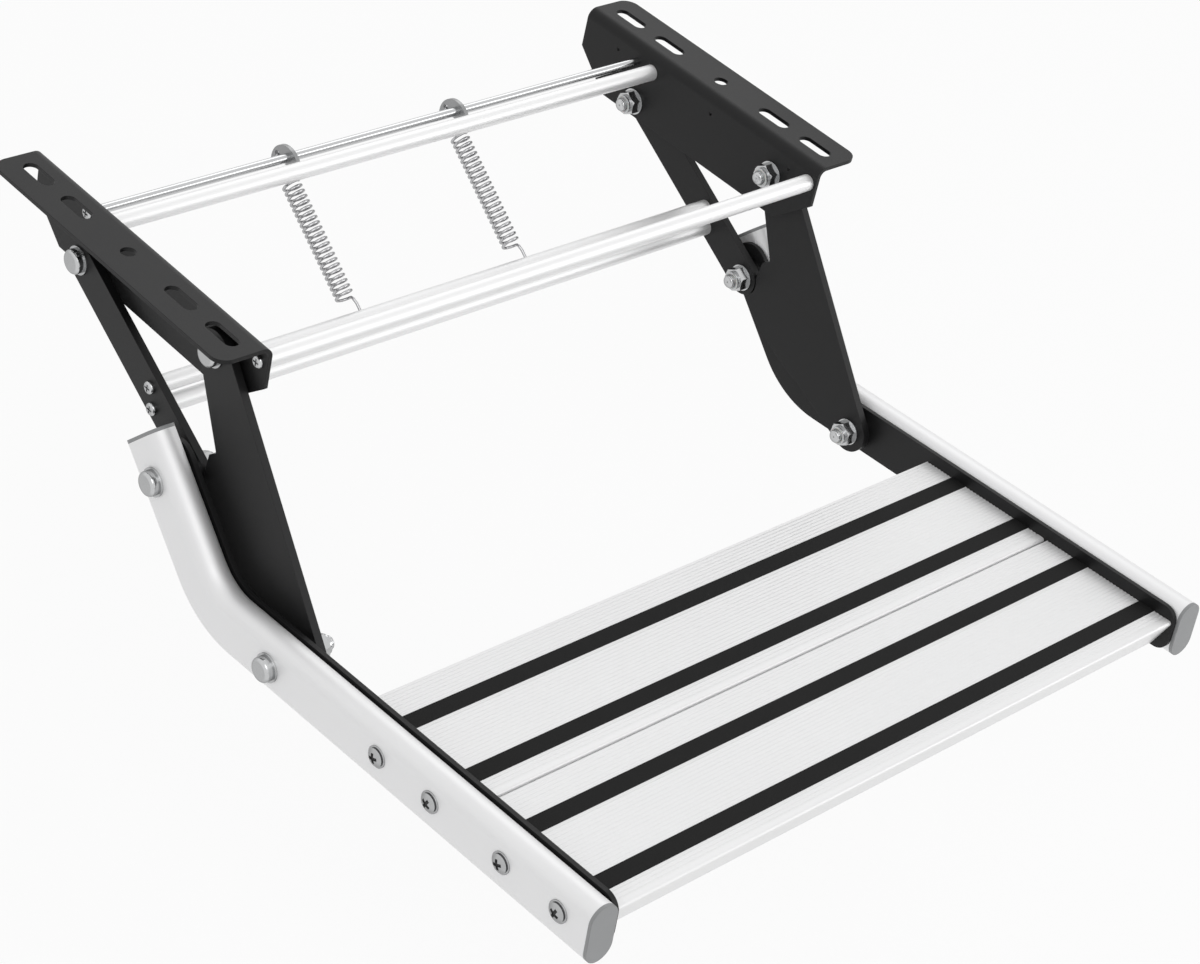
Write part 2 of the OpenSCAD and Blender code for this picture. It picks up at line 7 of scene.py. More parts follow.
import bmesh
import bpy
from bpy.props import FloatProperty, FloatVectorProperty, IntProperty, PointerProperty
from mathutils import Matrix, Vector


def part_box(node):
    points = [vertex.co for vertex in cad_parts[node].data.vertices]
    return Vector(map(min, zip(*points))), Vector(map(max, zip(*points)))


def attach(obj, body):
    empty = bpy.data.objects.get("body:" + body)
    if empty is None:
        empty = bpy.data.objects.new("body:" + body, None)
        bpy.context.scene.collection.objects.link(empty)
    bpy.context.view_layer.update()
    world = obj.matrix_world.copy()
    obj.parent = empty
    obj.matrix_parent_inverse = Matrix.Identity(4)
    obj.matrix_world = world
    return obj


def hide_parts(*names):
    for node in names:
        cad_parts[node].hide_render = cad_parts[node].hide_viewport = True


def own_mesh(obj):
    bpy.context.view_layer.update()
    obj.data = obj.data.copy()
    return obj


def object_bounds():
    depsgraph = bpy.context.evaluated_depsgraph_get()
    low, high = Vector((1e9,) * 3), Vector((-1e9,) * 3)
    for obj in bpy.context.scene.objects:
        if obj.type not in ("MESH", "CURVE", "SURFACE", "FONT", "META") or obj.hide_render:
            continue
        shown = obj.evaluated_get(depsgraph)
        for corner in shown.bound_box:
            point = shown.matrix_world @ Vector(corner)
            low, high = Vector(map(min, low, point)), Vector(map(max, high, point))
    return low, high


bl_info = {
    "name": "Caravan Entry Step",
    "version": (1, 0, 0),
    "blender": (4, 5, 0),
    "location": "View3D > Sidebar > Entry Step",
    "description": "Finishes and small parts of a folding caravan entry step",
    "category": "Object",
}

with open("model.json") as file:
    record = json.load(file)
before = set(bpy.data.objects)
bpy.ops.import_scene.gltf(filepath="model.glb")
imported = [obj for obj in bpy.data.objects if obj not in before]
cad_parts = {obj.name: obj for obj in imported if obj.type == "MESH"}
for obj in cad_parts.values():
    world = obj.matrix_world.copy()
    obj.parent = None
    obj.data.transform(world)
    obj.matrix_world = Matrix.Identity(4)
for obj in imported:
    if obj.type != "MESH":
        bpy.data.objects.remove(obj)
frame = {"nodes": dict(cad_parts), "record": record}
CAD_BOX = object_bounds()
MM = 0.001


# Sizes and colours that a user would change


class StepSizes(bpy.types.PropertyGroup):
    coil_d: FloatProperty(
        name="Coil Diameter",
        description="Outside of the spring coils",
        default=0.015,
        unit="LENGTH",
        subtype="DISTANCE",
    )
    wire_d: FloatProperty(
        name="Wire Diameter",
        description="Spring wire",
        default=0.0022,
        unit="LENGTH",
        subtype="DISTANCE",
    )
    coils: IntProperty(name="Coils", description="Coils in each spring", default=22)
    thread_pitch: FloatProperty(
        name="Thread Pitch",
        description="Pitch of the pivot bolts' thread",
        default=0.0015,
        unit="LENGTH",
        subtype="DISTANCE",
    )
    rib_pitch: FloatProperty(
        name="Rib Pitch",
        description="Distance from rib to rib on the planks",
        default=0.0032,
        unit="LENGTH",
        subtype="DISTANCE",
    )
    rib_depth: FloatProperty(
        name="Rib Depth",
        description="Depth of the waves between the ribs",
        default=0.0005,
        unit="LENGTH",
        subtype="DISTANCE",
    )
    floor_drop: FloatProperty(
        name="Floor Drop",
        description="Height of the step's lowest point above the floor",
        default=0.22,
        unit="LENGTH",
        subtype="DISTANCE",
    )
    lens: FloatProperty(name="Lens", description="Focal length in millimetres", default=90.08)


class StepColours(bpy.types.PropertyGroup):
    coat: FloatVectorProperty(
        name="Powder Coat",
        description="Black coat on brackets, links and arm plates",
        subtype="COLOR",
        default=(0.009, 0.009, 0.0094),
    )
    arm: FloatVectorProperty(
        name="Arm Aluminium",
        description="Satin anodised arm tubes",
        subtype="COLOR",
        default=(0.86, 0.86, 0.865),
    )
    plank: FloatVectorProperty(
        name="Plank Aluminium",
        description="Satin anodised ribbed planks",
        subtype="COLOR",
        default=(0.86, 0.86, 0.862),
    )
    bar: FloatVectorProperty(
        name="Bar Aluminium",
        description="Bright cross bars",
        subtype="COLOR",
        default=(0.88, 0.88, 0.882),
    )
    zinc: FloatVectorProperty(
        name="Zinc",
        description="Plated bolts, nuts, washers and screws",
        subtype="COLOR",
        default=(0.55, 0.555, 0.56),
    )
    wire: FloatVectorProperty(
        name="Spring Wire",
        description="Bright drawn wire",
        subtype="COLOR",
        default=(0.50, 0.50, 0.51),
    )
    grip: FloatVectorProperty(
        name="Grip Rubber",
        description="Black grip strips",
        subtype="COLOR",
        default=(0.008, 0.008, 0.008),
    )
    cap: FloatVectorProperty(
        name="Cap Plastic",
        description="Grey end caps of the arms",
        subtype="COLOR",
        default=(0.30, 0.305, 0.31),
    )
    nylon: FloatVectorProperty(
        name="Nut Nylon",
        description="Locking rings in the nuts",
        subtype="COLOR",
        default=(0.62, 0.63, 0.62),
    )
    backdrop: FloatVectorProperty(
        name="Backdrop",
        description="Pale studio floor",
        subtype="COLOR",
        default=(1.0, 1.0, 1.0),
    )


def sizes():
    """The sizes that a user may change."""
    return bpy.context.scene.step_sizes


def colours():
    """The colours that a user may change."""
    return bpy.context.scene.step_colours


# Shader helpers and the effects that several finishes share


def put(tree, kind, x, y, **values):
    """Add a node at a place in the tree and set its attributes and inputs."""
    n = tree.nodes.new(kind)
    n.location = (x, y)
    for key, value in values.items():
        if hasattr(n, key):
            setattr(n, key, value)
        else:
            n.inputs[key.replace("_", " ")].default_value = value
    return n


def group(name, inputs, outputs):
    """A shader node group with its sockets, and its two end nodes."""
    tree = bpy.data.node_groups.new(name, "ShaderNodeTree")
    for label, kind, default in inputs:
        s = tree.interface.new_socket(name=label, in_out="INPUT", socket_type=kind)
        s.default_value = default
    for label, kind in outputs:
        tree.interface.new_socket(name=label, in_out="OUTPUT", socket_type=kind)
    a = put(tree, "NodeGroupInput", -900, 0)
    b = put(tree, "NodeGroupOutput", 700, 0)
    return tree, a, b


def build_mottle():
    """Slow drift of a colour and a roughness over a surface, with fine specks."""
    tree, a, b = group(
        "finish_mottle",
        [
            ("Colour", "NodeSocketColor", (0.5, 0.5, 0.5, 1)),
            ("Drift", "NodeSocketFloat", 0.1),
            ("Scale", "NodeSocketFloat", 12.0),
            ("Roughness", "NodeSocketFloat", 0.4),
            ("Spread", "NodeSocketFloat", 0.1),
        ],
        [("Colour", "NodeSocketColor"), ("Roughness", "NodeSocketFloat")],
    )
    # The specks' share beside the slow drift. Taking off the mean leaves a value about zero.
    specks = 0.35
    mean = (1 + specks) / 2
    at = put(tree, "ShaderNodeTexCoord", -900, -300)
    slow = put(tree, "ShaderNodeTexNoise", -650, 100, Detail=3.0, Roughness=0.55)
    fine = put(tree, "ShaderNodeTexNoise", -650, -250, Scale=900.0, Detail=2.0)
    tree.links.new(at.outputs["Object"], slow.inputs["Vector"])
    tree.links.new(at.outputs["Object"], fine.inputs["Vector"])
    tree.links.new(a.outputs["Scale"], slow.inputs["Scale"])
    mix = put(tree, "ShaderNodeMath", -430, 0, operation="MULTIPLY_ADD")
    tree.links.new(fine.outputs["Fac"], mix.inputs[0])
    mix.inputs[1].default_value = specks
    tree.links.new(slow.outputs["Fac"], mix.inputs[2])
    centred = put(tree, "ShaderNodeMath", -250, 0, operation="SUBTRACT")
    tree.links.new(mix.outputs[0], centred.inputs[0])
    centred.inputs[1].default_value = mean
    shade = put(tree, "ShaderNodeMath", -60, 120, operation="MULTIPLY_ADD")
    tree.links.new(centred.outputs[0], shade.inputs[0])
    tree.links.new(a.outputs["Drift"], shade.inputs[1])
    shade.inputs[2].default_value = 1.0
    tint = put(tree, "ShaderNodeVectorMath", 150, 120, operation="SCALE")
    tree.links.new(a.outputs["Colour"], tint.inputs[0])
    tree.links.new(shade.outputs[0], tint.inputs["Scale"])
    rough = put(tree, "ShaderNodeMath", 150, -120, operation="MULTIPLY_ADD")
    tree.links.new(centred.outputs[0], rough.inputs[0])
    tree.links.new(a.outputs["Spread"], rough.inputs[1])
    tree.links.new(a.outputs["Roughness"], rough.inputs[2])
    tree.links.new(tint.outputs[0], b.inputs["Colour"])
    tree.links.new(rough.outputs[0], b.inputs["Roughness"])
    return tree


def build_grain():
    """Height of a directional grain, drawn out along one axis by the stretch."""
    tree, a, b = group(
        "finish_grain",
        [
            ("Scale", "NodeSocketFloat", 400.0),
            ("Stretch", "NodeSocketVector", (1.0, 1.0, 1.0)),
            ("Detail", "NodeSocketFloat", 3.0),
        ],
        [("Height", "NodeSocketFloat")],
    )
    at = put(tree, "ShaderNodeTexCoord", -900, -300)
    scaled = put(tree, "ShaderNodeVectorMath", -600, 0, operation="MULTIPLY")
    tree.links.new(at.outputs["Object"], scaled.inputs[0])
    tree.links.new(a.outputs["Stretch"], scaled.inputs[1])
    noise = put(tree, "ShaderNodeTexNoise", -300, 0, Roughness=0.6)
    tree.links.new(scaled.outputs[0], noise.inputs["Vector"])
    tree.links.new(a.outputs["Scale"], noise.inputs["Scale"])
    tree.links.new(a.outputs["Detail"], noise.inputs["Detail"])
    tree.links.new(noise.outputs["Fac"], b.inputs["Height"])
    return tree


EFFECTS = {"finish_mottle": build_mottle, "finish_grain": build_grain}


def effect(tree, name, x, y, **values):
    """Place a shared effect in a material's tree. Its first use builds it."""
    n = tree.nodes.new("ShaderNodeGroup")
    n.node_tree = bpy.data.node_groups.get(name) or EFFECTS[name]()
    n.location = (x, y)
    for key, value in values.items():
        n.inputs[key].default_value = value
    return n


# The stretch of a grain that has no direction, and of one that is drawn out along a bar
EVEN = (1.0, 1.0, 1.0)
DRAWN = (0.03, 1.0, 1.0)

# How far a surface faces away, from 0 to 1, where the painted dark reflection at the rim begins and
# where it is full
PAINTED_RIM_START, PAINTED_RIM_FULL = 0.30, 0.85

# The height that every grain's bump stands for
GRAIN_HEIGHT = 0.4 * MM


def finish(
    name, colour, *, drift, patch, rough, spread, metal, grain, bump, edge=0.0, rim=0.0, **sockets
):
    """A material. Its colour drifts by a share and its roughness by the spread, in patches of which
    so many fit in a metre. The grain's scale, stretch and detail make its bump. Its edges catch the
    light as if rounded by a radius. The rim is how far its colour is darkened where the surface
    turns away from the eye: a painted dark reflection, as plated metal shows in a dark room. The
    rest are constants on the shader."""
    m = bpy.data.materials.new(name)
    m.use_nodes = True
    tree = m.node_tree
    tree.nodes.clear()
    out = put(tree, "ShaderNodeOutputMaterial", 500, 0)
    bsdf = put(tree, "ShaderNodeBsdfPrincipled", 200, 0, Metallic=metal, **sockets)
    tree.links.new(bsdf.outputs[0], out.inputs[0])
    tone = effect(
        tree,
        "finish_mottle",
        -300,
        100,
        Colour=(*colour, 1),
        Drift=drift,
        Scale=patch,
        Roughness=rough,
        Spread=spread,
    )
    tree.links.new(tone.outputs["Colour"], bsdf.inputs["Base Color"])
    tree.links.new(tone.outputs["Roughness"], bsdf.inputs["Roughness"])
    # Painted dark reflection: the colour is darkened by the rim's share where the surface turns
    # away from the eye
    if rim:
        weight = put(tree, "ShaderNodeLayerWeight", -700, 400, Blend=0.5)
        painted_dark_rim = put(
            tree,
            "ShaderNodeMapRange",
            -500,
            400,
            From_Min=PAINTED_RIM_START,
            From_Max=PAINTED_RIM_FULL,
            To_Min=1.0,
            To_Max=1.0 - rim,
        )
        tint = put(tree, "ShaderNodeVectorMath", -60, 250, operation="SCALE")
        tree.links.new(weight.outputs["Facing"], painted_dark_rim.inputs["Value"])
        tree.links.new(tone.outputs["Colour"], tint.inputs[0])
        tree.links.new(painted_dark_rim.outputs["Result"], tint.inputs["Scale"])
        tree.links.new(tint.outputs[0], bsdf.inputs["Base Color"])
    scale, stretch, detail = grain
    lines = effect(tree, "finish_grain", -300, -250, Scale=scale, Stretch=stretch, Detail=detail)
    lift = put(tree, "ShaderNodeBump", -60, -250, Strength=bump, Distance=GRAIN_HEIGHT)
    tree.links.new(lines.outputs["Height"], lift.inputs["Height"])
    tree.links.new(lift.outputs["Normal"], bsdf.inputs["Normal"])
    if edge:
        rounded = put(tree, "ShaderNodeBevel", -300, -450, samples=4, Radius=edge)
        tree.links.new(rounded.outputs["Normal"], lift.inputs["Normal"])
    return m


def dress(m, *nodes):
    """Give CAD nodes, or pieces, a material."""
    for n in nodes:
        obj = frame["nodes"][n] if isinstance(n, str) else n
        if obj.material_slots:
            for s in obj.material_slots:
                s.material = m
        else:
            obj.data.materials.append(m)


# Mesh helpers


def to_object(bm, name, smooth=True):
    """A named object from a bmesh, in the CAD's frame."""
    bmesh.ops.recalc_face_normals(bm, faces=bm.faces)
    mesh = bpy.data.meshes.new(name)
    bm.to_mesh(mesh)
    bm.free()
    for p in mesh.polygons:
        p.use_smooth = smooth
    obj = bpy.data.objects.new(name, mesh)
    bpy.context.scene.collection.objects.link(obj)
    return obj


def skin(bm, rings):
    """Join each ring of points to the next one with a band of faces."""
    for lower, upper in zip(rings, rings[1:]):
        for k in range(len(lower)):
            m = (k + 1) % len(lower)
            bm.faces.new((lower[k], upper[k], upper[m], lower[m]))


def circle(sides):
    """Angles of the points round a circle."""
    return [2 * math.pi * k / sides for k in range(sides)]


def sweep(bm, path, r, sides):
    """A round wire along the points of a path, closed at both ends."""
    last = len(path) - 1
    rings = []
    n = Vector((0, 1, 0))
    for i, p in enumerate(path):
        t = (path[min(i + 1, last)] - path[max(i - 1, 0)]).normalized()
        n = (n - n.dot(t) * t).normalized()
        b = t.cross(n)
        around = [p + r * (math.cos(a) * n + math.sin(a) * b) for a in circle(sides)]
        rings.append([bm.verts.new(q) for q in around])
    skin(bm, rings)
    bm.faces.new(rings[0])
    bm.faces.new(list(reversed(rings[-1])))


# A turned profile ends this far from its axis, because a ring can't close to a point
AXIS_R = 0.02 * MM


def lathe(bm, profile, sides, place):
    """Turn a closed profile of (along, radius) pairs about X, and move it with a matrix."""
    rings = []
    for along, r in profile:
        around = [Vector((along, r * math.cos(a), r * math.sin(a))) for a in circle(sides)]
        rings.append([bm.verts.new(place @ q) for q in around])
    skin(bm, rings + [rings[0]])


def helix(bm, x0, x1, place, core, crest, pitch):
    """Thread ridge round a stud along X from x0 to x1, running into the core at both ends."""
    # Points in a turn, half the ridge's foot, how deep the foot sinks into the core, and the
    # number of run-ins that would fill the thread's length
    steps, half, sunk, run_ins = 20, 0.42 * pitch, 0.2 * MM, 12
    turns = (x1 - x0) / pitch
    count = int(turns * steps)
    rows = []
    for i in range(count + 1):
        u = i / count
        a = 2 * math.pi * turns * u
        x = x0 + (x1 - x0) * u
        rise = core + (crest - core) * min(1, run_ins * u, run_ins * (1 - u))
        ridge = ((x - half, core - sunk), (x, rise), (x + half, core - sunk))
        spots = [Vector((along, r * math.cos(a), r * math.sin(a))) for along, r in ridge]
        rows.append([bm.verts.new(place @ q) for q in spots])
    skin(bm, rows)
    bm.faces.new(rows[0])
    bm.faces.new(list(reversed(rows[-1])))


# The cross recess of a screw: half its width and its reach in shares of the head's radius, and
# its depth. The head's foot is drawn in to a share of the radius.
CROSS_HALF, CROSS_REACH, CROSS_DEPTH = 0.13, 0.50, 1.1 * MM
HEAD_FOOT = 0.86


def in_cross(u, v):
    """Whether a point of the head's grid lies in the cross recess."""
    small, large = sorted((abs(u), abs(v)))
    return small <= CROSS_HALF and large <= CROSS_REACH


def screw_head(bm, place, r, skirt, rise):
    """Domed head on the plane x = 0, standing out along +X, with a cross recess."""
    half = (0, CROSS_HALF, 0.18, 0.34, CROSS_REACH, 0.56, 0.70, 0.83, 0.93, 1)
    line = [-c for c in reversed(half[1:])] + list(half)
    last = len(line) - 1
    top, foot = [], []
    for u in line:
        top.append([])
        foot.append([])
        for v in line:
            # The square grid is drawn in to a disc, and the dome gets steeper towards its edge
            y, z = u * math.sqrt(1 - v * v / 2), v * math.sqrt(1 - u * u / 2)
            h = skirt + rise * (1 - (y * y + z * z) ** 1.25)
            if in_cross(u, v):
                h -= CROSS_DEPTH
            top[-1].append(bm.verts.new(place @ Vector((h, r * y, r * z))))
            foot[-1].append(place @ Vector((0, HEAD_FOOT * r * y, HEAD_FOOT * r * z)))
    for i in range(last):
        for j in range(last):
            f = bm.faces.new((top[i][j], top[i + 1][j], top[i + 1][j + 1], top[i][j + 1]))
            # Faces in the cross recess take the second material, whose darkness is painted shade
            corners = [(line[i + p], line[j + q]) for p in (0, 1) for q in (0, 1)]
            f.material_index = int(any(in_cross(u, v) for u, v in corners))
    rim = [(i, 0) for i in range(last)] + [(last, j) for j in range(last)]
    rim += [(i, last) for i in range(last, 0, -1)] + [(0, j) for j in range(last, 0, -1)]
    low = [bm.verts.new(foot[i][j]) for i, j in rim]
    skin(bm, [low, [top[i][j] for i, j in rim]])
    bm.faces.new(low)


def crease(bm, angle=0.5):
    """Mark the edges sharp where the faces meet at more than an angle in radians."""
    bm.normal_update()
    for e in bm.edges:
        e.smooth = e.calc_face_angle(0) < angle


# Where the pieces sit, in metres, from the frame's joints and boxes


def joint_point(name):
    """The point that a joint turns about."""
    found = [j for j in frame["record"]["behaviour"]["joints"] if j["name"] == name][0]
    return Vector(found["pos_m"])


def mid(node):
    """The middle of a node's box."""
    low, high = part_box(node)
    return (Vector(low) + Vector(high)) / 2


REAR_PIVOT = joint_point("rear_link_fold")
FRONT_PIVOT = joint_point("front_link_fold")
TOP_PIVOT = joint_point("tread_fold")
HANGER_HOLE = joint_point("spring_swing")
UPPER_BAR = mid("upper_link_bar")
LOW_PIVOT = mid("front_pivot_studs")
BAR_R = mid("rear_bar").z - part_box("rear_bar")[0][2]
SPRING_X = {
    "spring_left": mid("hanger_left").x,
    "spring_right": mid("hanger_right").x,
}

# The treads from the side. The arms rise forwards by an angle. The rest are millimetres: the
# planks' rear edges forwards of the arms' front pivot, the screws forwards of those edges, the
# planks' tops above the arms' middle, and the screws below those tops.
ARM_TILT = math.radians(4)
PLANK_AT = (69, 189.3)
SCREW_AT = (44, 96.5)
TREAD_TOP = 9.7
SCREW_DROP = 6.7


def on_arm(f, w):
    """A point in the side view, f mm forwards along the arms and w mm above their middle."""
    y = -f * math.cos(ARM_TILT) + w * math.sin(ARM_TILT)
    z = f * math.sin(ARM_TILT) + w * math.cos(ARM_TILT)
    return LOW_PIVOT.y + y * MM, LOW_PIVOT.z + z * MM


# Operators, one for each piece or group of like pieces


class STEP_OT_coated_parts(bpy.types.Operator):
    """Black powder coat on brackets, links and arm plates"""

    bl_idname = "entry_step.coated_parts"
    bl_label = "Coated Parts"

    def execute(self, context):
        m = finish(
            "black_powder_coat",
            colours().coat,
            drift=0.5,
            patch=9.0,
            rough=0.44,
            spread=0.10,
            metal=0.0,
            grain=(1500.0, EVEN, 2.0),
            bump=0.25,
            edge=0.5 * MM,
            Specular_IOR_Level=0.24,
        )
        dress(
            m,
            "bracket_left",
            "bracket_right",
            "rear_link_left",
            "rear_link_right",
            "front_link_left",
            "front_link_right",
            "arm_plate_left",
            "arm_plate_right",
        )
        return {"FINISHED"}


class STEP_OT_tread_arms(bpy.types.Operator):
    """Satin anodised finish on the bent arm tubes"""

    bl_idname = "entry_step.tread_arms"
    bl_label = "Tread Arms"

    def execute(self, context):
        m = finish(
            "satin_arm_tube",
            colours().arm,
            drift=0.05,
            patch=7.0,
            rough=0.50,
            spread=0.08,
            metal=0.48,
            grain=(900.0, (1.0, 0.06, 0.5), 3.0),
            bump=0.10,
            Specular_IOR_Level=0.5,
        )
        dress(m, "arm_left", "arm_right")
        return {"FINISHED"}


class STEP_OT_planks(bpy.types.Operator):
    """Anodised finish on the ribbed planks, with drawing lines along them"""

    bl_idname = "entry_step.planks"
    bl_label = "Planks"

    def execute(self, context):
        m = finish(
            "satin_plank",
            colours().plank,
            drift=0.06,
            patch=6.0,
            rough=0.5,
            spread=0.10,
            metal=0.35,
            grain=(1400.0, (0.02, 1.0, 1.0), 3.0),
            bump=0.10,
            Specular_IOR_Level=0.5,
        )
        low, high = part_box("rear_plank")
        for node, rear in zip(("rear_plank", "front_plank"), PLANK_AT):
            bm = bmesh.new()
            side = [on_arm(rear + f, TREAD_TOP + w) for f, w in self.section()]
            ends = [[bm.verts.new((x, y, z)) for y, z in side] for x in (low[0], high[0])]
            skin(bm, ends)
            caps = [bm.faces.new(loop) for loop in ends]
            bmesh.ops.triangulate(bm, faces=caps)
            crease(bm)
            obj = to_object(bm, "ribbed_" + node)
            dress(m, obj)
            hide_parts(node)
            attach(obj, "treads")
        return {"FINISHED"}

    def section(self):
        """Outline of a plank: millimetres forwards from its rear edge, and up from its top."""
        # The section's depth and thickness, and how far its lower front edge stands back
        depth, thick, foot_back = 119.8, 25, 11
        # The front edge's radius, the lean of the face below it, and the plain strip behind it
        nose, lean, plain = 2, math.radians(25), 6
        # The rear edges of the grooves for the grip strips, and their width and depth
        grooves, groove_w, groove_d = (90, 27.5), 14, 2.6
        # How far the rear edge is cut back at the top, which opens the seam between the planks
        back = 2.4
        arc_steps = 8
        points = [(0, -thick), (depth - foot_back, -thick)]
        for k in range(arc_steps + 1):
            a = -lean + (math.pi / 2 + lean) * k / arc_steps
            points.append((depth - nose + nose * math.cos(a), -nose + nose * math.sin(a)))
        edge = depth - plain
        points.append((edge, 0))
        for groove in grooves:
            front = groove + groove_w
            points += self.waves(edge, front)
            points += [(front, 0), (front, -groove_d), (groove, -groove_d), (groove, 0)]
            edge = groove
        points += self.waves(edge, back)
        return points + [(back, 0), (0, -2 * back)]

    def waves(self, start, stop):
        """Fine ribs between two places on the top, without those two points."""
        s = sizes()
        in_rib = 6
        steps = in_rib * round((start - stop) / (s.rib_pitch / MM))
        half = s.rib_depth / MM / 2
        return [
            (start + (stop - start) * i / steps, half * (math.cos(2 * math.pi * i / in_rib) - 1))
            for i in range(1, steps)
        ]


class STEP_OT_cross_bars(bpy.types.Operator):
    """Drawn finish on the cross bars, and plating on the rear rod and its hangers"""

    bl_idname = "entry_step.cross_bars"
    bl_label = "Cross Bars"

    def execute(self, context):
        bar = finish(
            "bright_bar",
            colours().bar,
            drift=0.05,
            patch=8.0,
            rough=0.5,
            spread=0.08,
            metal=0.6,
            grain=(1200.0, DRAWN, 3.0),
            bump=0.05,
        )
        dress(bar, "rear_bar", "front_bar", "upper_link_bar", "lower_link_bar")
        rod = finish(
            "plated_rod",
            colours().zinc,
            drift=0.10,
            patch=20.0,
            rough=0.15,
            spread=0.06,
            metal=1.0,
            grain=(1200.0, DRAWN, 3.0),
            bump=0.04,
        )
        dress(rod, "rear_rod")
        # The hangers are duller than the rest by this share of the zinc's colour
        dull = 0.56
        plate = finish(
            "hanger_plate",
            [dull * c for c in colours().zinc],
            drift=0.2,
            patch=40.0,
            rough=0.35,
            spread=0.12,
            metal=0.9,
            grain=(900.0, EVEN, 3.0),
            bump=0.12,
            edge=0.3 * MM,
        )
        dress(plate, "hanger_left", "hanger_right")
        return {"FINISHED"}


class STEP_OT_fasteners(bpy.types.Operator):
    """Zinc plate on bolts, nuts, washers, spacers and screws"""

    bl_idname = "entry_step.fasteners"
    bl_label = "Fasteners"

    def execute(self, context):
        m = finish(
            "zinc_plate",
            colours().zinc,
            drift=0.25,
            patch=60.0,
            rough=0.18,
            spread=0.10,
            metal=1.0,
            grain=(1100.0, EVEN, 3.0),
            bump=0.08,
            edge=0.25 * MM,
            # rim: the zinc's colour darkens where the surface turns away, a painted dark reflection
            rim=0.72,
        )
        dress(
            m,
            "frame_screws",
            "bracket_bolts",
            "bracket_spacers",
            "bracket_head_washers",
            "bracket_nut_washers",
            "bracket_nuts",
            "link_screws",
            "front_pivot_studs",
            "front_pivot_nut_washers",
            "front_pivot_nuts",
            "arm_pivot_washers",
            "rear_pivot_bolts",
            "rear_pivot_spacers",
            "rear_pivot_nut_washers",
            "rear_pivot_nuts",
            "front_pivot_bolts",
            "front_pivot_spacers",
        )
        return {"FINISHED"}


class STEP_OT_tread_screws(bpy.types.Operator):
    """Domed screws with cross recesses, on washers, through the arms into the planks"""

    bl_idname = "entry_step.tread_screws"
    bl_label = "Tread Screws"

    def execute(self, context):
        # Shares of the zinc's colour for the heads and for their recesses. The recesses' low share
        # is painted shade, the darkness that falls inside a cross recess.
        grey, dark = 0.8, 0.08
        steel = finish(
            "screw_steel",
            [grey * c for c in colours().zinc],
            drift=0.2,
            patch=60.0,
            rough=0.16,
            spread=0.08,
            metal=1.0,
            grain=(1100.0, EVEN, 3.0),
            bump=0.06,
            # rim: the heads' and washers' colour darkens where they turn away, a painted dark
            # reflection
            rim=0.7,
        )
        # The recesses' finish: zinc darkened to painted shade
        recess = finish(
            "screw_recess_painted_shade",
            [dark * c for c in colours().zinc],
            drift=0.3,
            patch=60.0,
            rough=0.6,
            spread=0.1,
            metal=0.6,
            grain=(1100.0, EVEN, 3.0),
            bump=0.15,
        )
        screws, washers = bmesh.new(), bmesh.new()
        self.build(screws, washers)
        for bm, node, finishes in (
            (screws, "tread_screws", (steel, recess)),
            (washers, "tread_screw_washers", (steel,)),
        ):
            crease(bm)
            obj = to_object(bm, "domed_" + node)
            for m in finishes:
                obj.data.materials.append(m)
            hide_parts(node)
            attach(obj, "treads")
        return {"FINISHED"}

    def build(self, screws, washers):
        """All screws and washers, from the arms' outer faces in to where the CAD screws end."""
        face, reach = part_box("arm_right")[1][0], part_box("tread_screws")[1][0]
        inner = min(abs(v.co.x) for v in frame["nodes"]["tread_screws"].data.vertices)
        washer_t, washer_r, hole_r = 1.0 * MM, 7.9 * MM, 2.6 * MM
        bevel_t, bevel_r = 0.3 * MM, 0.4 * MM
        head_r, skirt, shank_r = 6.6 * MM, 0.9 * MM, 2.3 * MM
        rise = reach - face - washer_t - skirt
        end = inner - face - washer_t
        shank = [(end, AXIS_R), (end, shank_r), (0, shank_r), (0, AXIS_R)]
        ring = [(-washer_t, hole_r), (-washer_t, washer_r), (-bevel_t, washer_r)]
        ring += [(0, washer_r - bevel_r), (0, hole_r)]
        # Each recess stands at its own angle, as screws do that were driven home
        first, step = 0.35, 0.83
        places = [(s, k + f) for s in (-1, 1) for k in PLANK_AT for f in SCREW_AT]
        for i, (side, f) in enumerate(places):
            y, z = on_arm(f, TREAD_TOP - SCREW_DROP)
            out = Matrix.Translation((side * (face + washer_t), y, z))
            out = out @ Matrix.Rotation(0 if side > 0 else math.pi, 4, "Z")
            turned = out @ Matrix.Rotation(first + step * i, 4, "X")
            screw_head(screws, turned, head_r, skirt, rise)
            lathe(screws, shank, sides=20, place=out)
            lathe(washers, ring, sides=48, place=out)


class STEP_OT_grip_strips(bpy.types.Operator):
    """Gritty black rubber on the grip strips"""

    bl_idname = "entry_step.grip_strips"
    bl_label = "Grip Strips"

    def execute(self, context):
        m = finish(
            "grip_rubber",
            colours().grip,
            drift=0.9,
            patch=30.0,
            rough=0.72,
            spread=0.18,
            metal=0.0,
            grain=(1700.0, EVEN, 4.0),
            bump=0.7,
            Specular_IOR_Level=0.18,
        )
        dress(m, "grip_strips")
        return {"FINISHED"}


class STEP_OT_caps(bpy.types.Operator):
    """Fine grained grey plastic on the arms' end caps"""

    bl_idname = "entry_step.caps"
    bl_label = "End Caps"

    def execute(self, context):
        m = finish(
            "cap_plastic",
            colours().cap,
            drift=0.15,
            patch=25.0,
            rough=0.5,
            spread=0.1,
            metal=0.0,
            grain=(2200.0, EVEN, 2.0),
            bump=0.25,
            edge=0.7 * MM,
        )
        dress(m, "arm_front_caps", "arm_top_caps")
        return {"FINISHED"}


